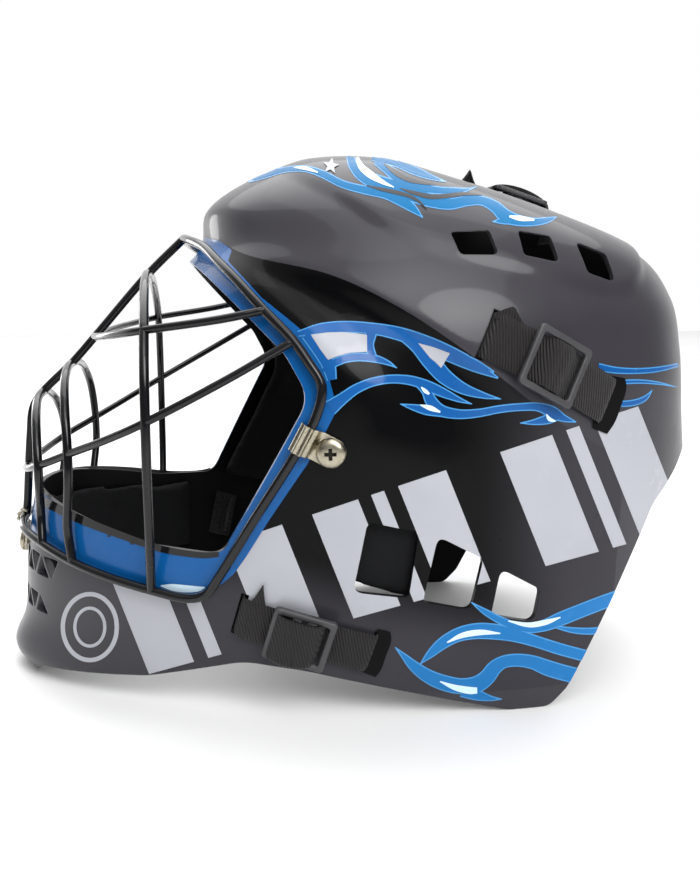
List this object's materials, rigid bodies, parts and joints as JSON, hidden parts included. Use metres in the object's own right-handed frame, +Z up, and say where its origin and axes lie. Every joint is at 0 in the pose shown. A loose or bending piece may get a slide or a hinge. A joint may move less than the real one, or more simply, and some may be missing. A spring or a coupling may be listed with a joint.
{
  "type": "floorball goalkeeper mask",
  "caption": "Hard moulded goalkeeper's mask for floorball with a wire cage over the face, foam pads inside and webbing straps with plastic sliders.",
  "frame": {"origin": "centre of the bounding box's base, on the surface that the mask rests on", "axes": "+Z up, the face looks along -Y, and the wearer's left side is +X"},
  "size_m": [0.2494, 0.3359, 0.246],
  "materials": {
    "shell_paint": "clear-coated black paint with painted ornament",
    "wire_paint": "glossy black powder coat",
    "fastener_steel": "nickel plated",
    "webbing": "ribbed woven webbing",
    "slider_plastic": "moulded, matte",
    "foam": "closed-cell foam, matte"
  },
  "bodies": {
    "root": {"shell": "shell_paint", "cage": "wire_paint", "clip_side_left": "fastener_steel", "screw_side_left": "fastener_steel", "clip_side_right": "fastener_steel", "screw_side_right": "fastener_steel", "clip_chin": "fastener_steel", "screw_chin": "fastener_steel", "strap_upper_left": "webbing", "slider_upper_left": "slider_plastic", "strap_upper_right": "webbing", "slider_upper_right": "slider_plastic", "strap_lower_left": "webbing", "slider_lower_left": "slider_plastic", "strap_lower_right": "webbing", "slider_lower_right": "slider_plastic", "strap_crown": "webbing", "slider_crown": "slider_plastic", "pad_forehead": "foam", "pad_crown": "foam", "pad_nape": "foam", "pad_cheek_left": "foam", "pad_cheek_right": "foam", "pad_chin": "foam"}
  },
  "joints": []
}
